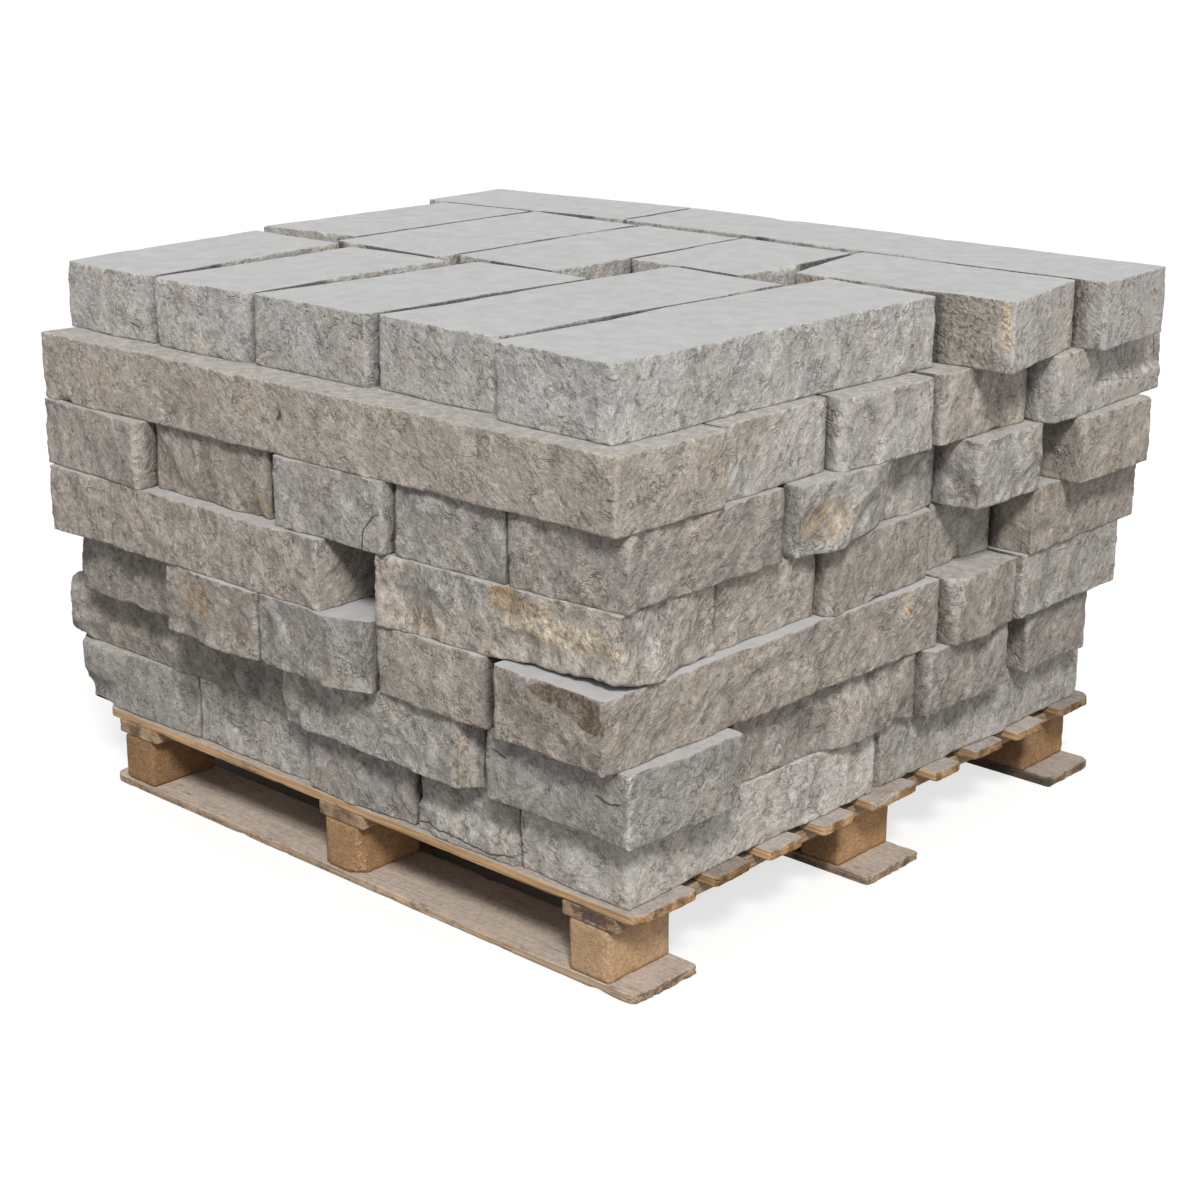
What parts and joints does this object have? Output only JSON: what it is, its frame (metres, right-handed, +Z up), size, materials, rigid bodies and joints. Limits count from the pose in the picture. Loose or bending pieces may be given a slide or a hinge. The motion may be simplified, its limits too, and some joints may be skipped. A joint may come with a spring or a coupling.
{
  "type": "pallet of limestone wall stone",
  "caption": "Square timber block pallet stacked with courses of sawn-bed, split-face limestone walling stone.",
  "frame": {"origin": "middle of the pallet's underside, on the floor", "axes": "+X along the deck boards, +Y along the stringers, +Z up; the front of the load looks along -Y"},
  "size_m": [1.4093, 1.2569, 0.84],
  "materials": {
    "limestone": "sawn beds, split faces",
    "deck_wood": "rough sawn softwood, dusty",
    "stringer_wood": "rough sawn softwood",
    "base_wood": "rough sawn softwood, dirty",
    "chipboard": "pressed wood chip",
    "nail_steel": "dull"
  },
  "bodies": {
    "root": {"base_board_1": "base_wood", "base_board_2": "base_wood", "base_board_3": "base_wood", "block_1": "chipboard", "block_2": "chipboard", "block_3": "chipboard", "block_4": "chipboard", "block_5": "chipboard", "block_6": "chipboard", "block_7": "chipboard", "block_8": "chipboard", "block_9": "chipboard", "stringer_1": "stringer_wood", "stringer_2": "stringer_wood", "stringer_3": "stringer_wood", "deck_board_1": "deck_wood", "deck_board_2": "deck_wood", "deck_board_3": "deck_wood", "deck_board_4": "deck_wood", "deck_board_5": "deck_wood", "deck_board_6": "deck_wood", "deck_board_7": "deck_wood", "deck_board_8": "deck_wood", "deck_board_9": "deck_wood", "nails": "nail_steel", "course_1": "limestone", "course_2": "limestone", "course_3": "limestone", "course_4": "limestone", "course_5": "limestone", "course_6": "limestone", "course_7": "limestone"}
  },
  "joints": []
}
